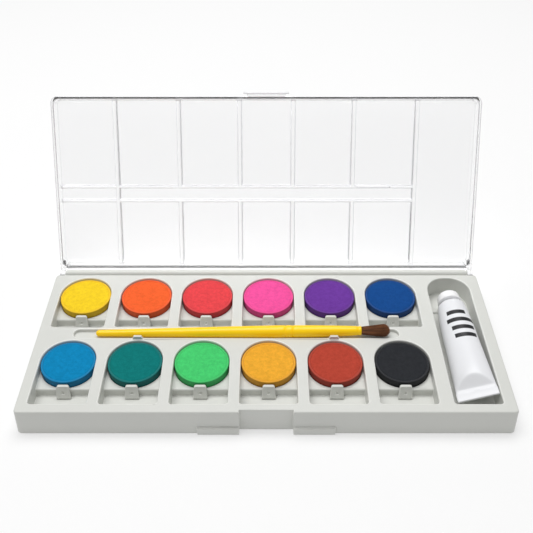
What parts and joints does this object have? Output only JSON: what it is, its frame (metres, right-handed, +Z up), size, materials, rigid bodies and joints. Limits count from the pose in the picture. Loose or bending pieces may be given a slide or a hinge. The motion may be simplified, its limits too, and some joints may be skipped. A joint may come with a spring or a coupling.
{
  "type": "watercolor travel box",
  "caption": "Flat watercolour box with round paint pans in clipped wells, a brush, a tube of white and a clear hinged lid with mixing wells.",
  "frame": {"origin": "on the plane the tray stands on, at the middle of the tray's top outline", "axes": "+X right and +Y back as the open box faces its user, +Z up"},
  "size_m": [0.2612, 0.1704, 0.1167],
  "materials": {
    "tray_plastic": "satin light warm-grey polystyrene",
    "lid_clear": "clear polished polystyrene",
    "brush_yellow": "glossy yellow lacquer and sleeve",
    "bristle": "brown hair",
    "tube_white": "satin white laminate",
    "cap_white": "satin white polypropylene",
    "pan_cyan": "cyan moulded pan",
    "paint_cyan": "dry cyan watercolour cake, matte",
    "pan_teal": "teal moulded pan",
    "paint_teal": "dry teal watercolour cake, matte",
    "pan_green": "green moulded pan",
    "paint_green": "dry green watercolour cake, matte",
    "pan_ochre": "ochre moulded pan",
    "paint_ochre": "dry ochre watercolour cake, matte",
    "pan_brick": "brick moulded pan",
    "paint_brick": "dry brick watercolour cake, matte",
    "pan_black": "black moulded pan",
    "paint_black": "dry black watercolour cake, matte",
    "pan_yellow": "yellow moulded pan",
    "paint_yellow": "dry yellow watercolour cake, matte",
    "pan_orange": "orange moulded pan",
    "paint_orange": "dry orange watercolour cake, matte",
    "pan_red": "red moulded pan",
    "paint_red": "dry red watercolour cake, matte",
    "pan_pink": "pink moulded pan",
    "paint_pink": "dry pink watercolour cake, matte",
    "pan_violet": "violet moulded pan",
    "paint_violet": "dry violet watercolour cake, matte",
    "pan_blue": "blue moulded pan",
    "paint_blue": "dry blue watercolour cake, matte"
  },
  "bodies": {
    "tray_body": {"tray": "tray_plastic"},
    "lid_body": {"lid": "lid_clear"},
    "clip_front_1_body": {"clip_front_1": "tray_plastic"},
    "cyan_pan_body": {"pan_cyan": "pan_cyan", "paint_cyan": "paint_cyan"},
    "clip_front_2_body": {"clip_front_2": "tray_plastic"},
    "teal_pan_body": {"pan_teal": "pan_teal", "paint_teal": "paint_teal"},
    "clip_front_3_body": {"clip_front_3": "tray_plastic"},
    "green_pan_body": {"pan_green": "pan_green", "paint_green": "paint_green"},
    "clip_front_4_body": {"clip_front_4": "tray_plastic"},
    "ochre_pan_body": {"pan_ochre": "pan_ochre", "paint_ochre": "paint_ochre"},
    "clip_front_5_body": {"clip_front_5": "tray_plastic"},
    "brick_pan_body": {"pan_brick": "pan_brick", "paint_brick": "paint_brick"},
    "clip_front_6_body": {"clip_front_6": "tray_plastic"},
    "black_pan_body": {"pan_black": "pan_black", "paint_black": "paint_black"},
    "clip_rear_1_body": {"clip_rear_1": "tray_plastic"},
    "yellow_pan_body": {"pan_yellow": "pan_yellow", "paint_yellow": "paint_yellow"},
    "clip_rear_2_body": {"clip_rear_2": "tray_plastic"},
    "orange_pan_body": {"pan_orange": "pan_orange", "paint_orange": "paint_orange"},
    "clip_rear_3_body": {"clip_rear_3": "tray_plastic"},
    "red_pan_body": {"pan_red": "pan_red", "paint_red": "paint_red"},
    "clip_rear_4_body": {"clip_rear_4": "tray_plastic"},
    "pink_pan_body": {"pan_pink": "pan_pink", "paint_pink": "paint_pink"},
    "clip_rear_5_body": {"clip_rear_5": "tray_plastic"},
    "violet_pan_body": {"pan_violet": "pan_violet", "paint_violet": "paint_violet"},
    "clip_rear_6_body": {"clip_rear_6": "tray_plastic"},
    "blue_pan_body": {"pan_blue": "pan_blue", "paint_blue": "paint_blue"},
    "brush_body": {"brush_handle": "brush_yellow", "brush_ferrule": "brush_yellow", "brush_bristles": "bristle"},
    "tube_body": {"paint_tube": "tube_white"},
    "cap_body": {"tube_cap": "cap_white"}
  },
  "joints": [
    {"name": "clip_front_1_flex", "type": "hinge", "parent": "tray_body", "child": "clip_front_1_body", "pos_m": [-0.1085, -0.0363, 0.0069], "axis": [1, 0, 0], "range_deg": [0, 8], "stiffness_Nm_per_rad": 0.05},
    {"name": "cyan_pan_lift", "type": "slide", "parent": "tray_body", "child": "cyan_pan_body", "axis": [0, 0, 1], "range_m": [0, 0.03]},
    {"name": "clip_front_2_flex", "type": "hinge", "parent": "tray_body", "child": "clip_front_2_body", "pos_m": [-0.0719, -0.0363, 0.0069], "axis": [1, 0, 0], "range_deg": [0, 8], "stiffness_Nm_per_rad": 0.05},
    {"name": "teal_pan_lift", "type": "slide", "parent": "tray_body", "child": "teal_pan_body", "axis": [0, 0, 1], "range_m": [0, 0.03]},
    {"name": "clip_front_3_flex", "type": "hinge", "parent": "tray_body", "child": "clip_front_3_body", "pos_m": [-0.0353, -0.0363, 0.0069], "axis": [1, 0, 0], "range_deg": [0, 8], "stiffness_Nm_per_rad": 0.05},
    {"name": "green_pan_lift", "type": "slide", "parent": "tray_body", "child": "green_pan_body", "axis": [0, 0, 1], "range_m": [0, 0.03]},
    {"name": "clip_front_4_flex", "type": "hinge", "parent": "tray_body", "child": "clip_front_4_body", "pos_m": [0.0013, -0.0363, 0.0069], "axis": [1, 0, 0], "range_deg": [0, 8], "stiffness_Nm_per_rad": 0.05},
    {"name": "ochre_pan_lift", "type": "slide", "parent": "tray_body", "child": "ochre_pan_body", "axis": [0, 0, 1], "range_m": [0, 0.03]},
    {"name": "clip_front_5_flex", "type": "hinge", "parent": "tray_body", "child": "clip_front_5_body", "pos_m": [0.0379, -0.0363, 0.0069], "axis": [1, 0, 0], "range_deg": [0, 8], "stiffness_Nm_per_rad": 0.05},
    {"name": "brick_pan_lift", "type": "slide", "parent": "tray_body", "child": "brick_pan_body", "axis": [0, 0, 1], "range_m": [0, 0.03]},
    {"name": "clip_front_6_flex", "type": "hinge", "parent": "tray_body", "child": "clip_front_6_body", "pos_m": [0.0745, -0.0363, 0.0069], "axis": [1, 0, 0], "range_deg": [0, 8], "stiffness_Nm_per_rad": 0.05},
    {"name": "black_pan_lift", "type": "slide", "parent": "tray_body", "child": "black_pan_body", "axis": [0, 0, 1], "range_m": [0, 0.03]},
    {"name": "clip_rear_1_flex", "type": "hinge", "parent": "tray_body", "child": "clip_rear_1_body", "pos_m": [-0.1085, 0.0172, 0.0069], "axis": [1, 0, 0], "range_deg": [0, 8], "stiffness_Nm_per_rad": 0.05},
    {"name": "yellow_pan_lift", "type": "slide", "parent": "tray_body", "child": "yellow_pan_body", "axis": [0, 0, 1], "range_m": [0, 0.03]},
    {"name": "clip_rear_2_flex", "type": "hinge", "parent": "tray_body", "child": "clip_rear_2_body", "pos_m": [-0.0719, 0.0172, 0.0069], "axis": [1, 0, 0], "range_deg": [0, 8], "stiffness_Nm_per_rad": 0.05},
    {"name": "orange_pan_lift", "type": "slide", "parent": "tray_body", "child": "orange_pan_body", "axis": [0, 0, 1], "range_m": [0, 0.03]},
    {"name": "clip_rear_3_flex", "type": "hinge", "parent": "tray_body", "child": "clip_rear_3_body", "pos_m": [-0.0353, 0.0172, 0.0069], "axis": [1, 0, 0], "range_deg": [0, 8], "stiffness_Nm_per_rad": 0.05},
    {"name": "red_pan_lift", "type": "slide", "parent": "tray_body", "child": "red_pan_body", "axis": [0, 0, 1], "range_m": [0, 0.03]},
    {"name": "clip_rear_4_flex", "type": "hinge", "parent": "tray_body", "child": "clip_rear_4_body", "pos_m": [0.0013, 0.0172, 0.0069], "axis": [1, 0, 0], "range_deg": [0, 8], "stiffness_Nm_per_rad": 0.05},
    {"name": "pink_pan_lift", "type": "slide", "parent": "tray_body", "child": "pink_pan_body", "axis": [0, 0, 1], "range_m": [0, 0.03]},
    {"name": "clip_rear_5_flex", "type": "hinge", "parent": "tray_body", "child": "clip_rear_5_body", "pos_m": [0.0379, 0.0172, 0.0069], "axis": [1, 0, 0], "range_deg": [0, 8], "stiffness_Nm_per_rad": 0.05},
    {"name": "violet_pan_lift", "type": "slide", "parent": "tray_body", "child": "violet_pan_body", "axis": [0, 0, 1], "range_m": [0, 0.03]},
    {"name": "clip_rear_6_flex", "type": "hinge", "parent": "tray_body", "child": "clip_rear_6_body", "pos_m": [0.0745, 0.0172, 0.0069], "axis": [1, 0, 0], "range_deg": [0, 8], "stiffness_Nm_per_rad": 0.05},
    {"name": "blue_pan_lift", "type": "slide", "parent": "tray_body", "child": "blue_pan_body", "axis": [0, 0, 1], "range_m": [0, 0.03]},
    {"name": "lid_hinge", "type": "hinge", "parent": "tray_body", "child": "lid_body", "pos_m": [0, 0.0565, 0.0149], "axis": [-1, 0, 0], "range_deg": [-117, 0]},
    {"name": "brush_lift", "type": "slide", "parent": "tray_body", "child": "brush_body", "axis": [0, 0, 1], "range_m": [0, 0.03]},
    {"name": "tube_lift", "type": "slide", "parent": "tray_body", "child": "tube_body", "axis": [0, 0, 1], "range_m": [0, 0.03]},
    {"name": "cap_turn", "type": "hinge", "parent": "tube_body", "child": "cap_body", "pos_m": [0.1102, 0.0274, 0.0122], "axis": [-0.0262, 0.9997, 0], "range_deg": [0, 720]}
  ]
}
